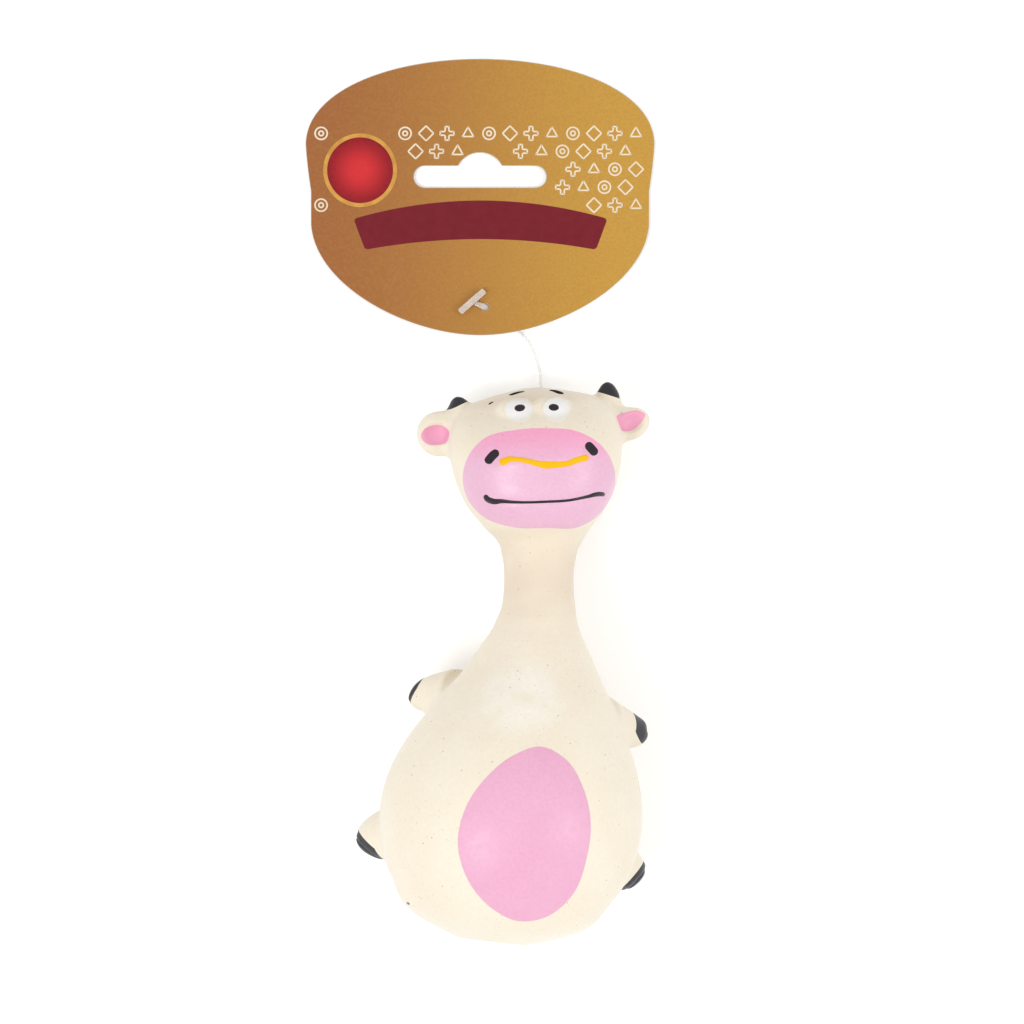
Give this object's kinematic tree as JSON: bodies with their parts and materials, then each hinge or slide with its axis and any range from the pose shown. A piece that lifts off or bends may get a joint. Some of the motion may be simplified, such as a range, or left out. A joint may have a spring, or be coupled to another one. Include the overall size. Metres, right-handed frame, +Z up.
{
  "type": "squeaky dog toy",
  "caption": "Hollow latex squeaky dog toy in the shape of a sitting cow with a round belly and long neck, lying on its back with its header card.",
  "frame": {"origin": "on the surface that the toy lies on, under the middle of the toy's box without its card", "axes": "+Y from the seat to the head, +Z up out of the belly, +X to the right as seen from above"},
  "size_m": [0.0842, 0.2099, 0.0574],
  "materials": {
    "latex_cream": "matte moulded latex with fine specks",
    "latex_pink": "satin paint on latex",
    "latex_black": "satin paint on latex",
    "eye_white": "satin paint on latex",
    "squeaker_plastic": "moulded plastic",
    "reed_brass": "rolled strip",
    "card_gold": "printed card, satin",
    "clear_plastic": "clear moulded plastic"
  },
  "bodies": {
    "torso": {"torso_shell": "latex_cream", "squeaker_cup": "squeaker_plastic", "squeaker_lock_ring": "squeaker_plastic", "reed_trough": "squeaker_plastic", "reed_clip": "squeaker_plastic", "squeaker_cap": "squeaker_plastic"},
    "belly": {"belly_panel": "latex_pink"},
    "reed": {"squeaker_reed": "reed_brass"},
    "arm_left": {"arm_left": "latex_cream", "arm_left_hoof": "latex_black"},
    "arm_right": {"arm_right": "latex_cream", "arm_right_hoof": "latex_black"},
    "leg_left": {"leg_left": "latex_cream", "leg_left_hoof": "latex_black"},
    "leg_right": {"leg_right": "latex_cream", "leg_right_hoof": "latex_black"},
    "neck": {"neck_tube": "latex_cream"},
    "head": {"head_shell": "latex_cream", "muzzle_shell": "latex_pink", "eye_left": "eye_white", "eye_right": "eye_white", "horn_left": "latex_black", "horn_right": "latex_black", "tag_anchor": "clear_plastic"},
    "ear_left": {"ear_left": "latex_cream"},
    "ear_right": {"ear_right": "latex_cream"},
    "tag_pin": {"tag_filament": "clear_plastic", "tag_bar": "clear_plastic"},
    "card": {"header_card": "card_gold"}
  },
  "joints": [
    {"name": "belly_squeeze", "type": "slide", "parent": "torso", "child": "belly", "axis": [-0.0148, -0.1122, -0.9936], "range_m": [0, 0.01], "stiffness_N_per_m": 600},
    {"name": "reed_vibrate", "type": "hinge", "parent": "torso", "child": "reed", "pos_m": [-0.00134, -0.05763, 0.03132], "axis": [0.9914, -0.1305, 0], "range_deg": [-2, 2], "stiffness_Nm_per_rad": 0.002},
    {"name": "arm_left_flex", "type": "hinge", "parent": "torso", "child": "arm_left", "pos_m": [-0.01682, -0.00931, 0.01716], "axis": [0.0668, 0.9914, -0.113], "range_deg": [-12, 12], "stiffness_Nm_per_rad": 0.02},
    {"name": "arm_right_flex", "type": "hinge", "parent": "torso", "child": "arm_right", "pos_m": [0.02611, -0.01496, 0.01716], "axis": [-0.1921, -0.9749, 0.113], "range_deg": [-12, 12], "stiffness_Nm_per_rad": 0.02},
    {"name": "leg_left_flex", "type": "hinge", "parent": "torso", "child": "leg_left", "pos_m": [-0.02524, -0.04107, 0.01555], "axis": [-0.1831, 0.9772, -0.1077], "range_deg": [-12, 12], "stiffness_Nm_per_rad": 0.02},
    {"name": "leg_right_flex", "type": "hinge", "parent": "torso", "child": "leg_right", "pos_m": [0.02602, -0.04782, 0.01555], "axis": [-0.4298, -0.8965, 0.1077], "range_deg": [-12, 12], "stiffness_Nm_per_rad": 0.02},
    {"name": "neck_sway", "type": "hinge", "parent": "torso", "child": "neck", "pos_m": [0.00716, 0.00693, 0.02342], "axis": [0.0148, 0.1122, 0.9936], "range_deg": [-25, 25], "stiffness_Nm_per_rad": 0.2, "deforming": ["neck_tube"]},
    {"name": "head_nod", "type": "hinge", "parent": "neck", "child": "head", "pos_m": [0.00935, 0.02746, 0.01991], "axis": [0.9976, 0.0698, 0], "range_deg": [-20, 35], "stiffness_Nm_per_rad": 0.2},
    {"name": "ear_left_flex", "type": "hinge", "parent": "head", "child": "ear_left", "pos_m": [-0.01095, 0.05411, 0.01691], "axis": [-0.0698, 0.9976, 0], "range_deg": [-20, 20], "stiffness_Nm_per_rad": 0.004},
    {"name": "ear_right_flex", "type": "hinge", "parent": "head", "child": "ear_right", "pos_m": [0.02576, 0.05667, 0.01691], "axis": [-0.0698, 0.9976, 0], "range_deg": [-20, 20], "stiffness_Nm_per_rad": 0.004},
    {"name": "tag_swing", "type": "hinge", "parent": "head", "child": "tag_pin", "pos_m": [0.0093, 0.06205, 0.00505], "axis": [1, 0, 0], "range_deg": [-45, 60]},
    {"name": "card_spin", "type": "hinge", "parent": "tag_pin", "child": "card", "pos_m": [-0.0043, 0.0847, 0.00137], "axis": [0, 0.0187, 0.9998], "range_deg": [-35, 35]}
  ]
}
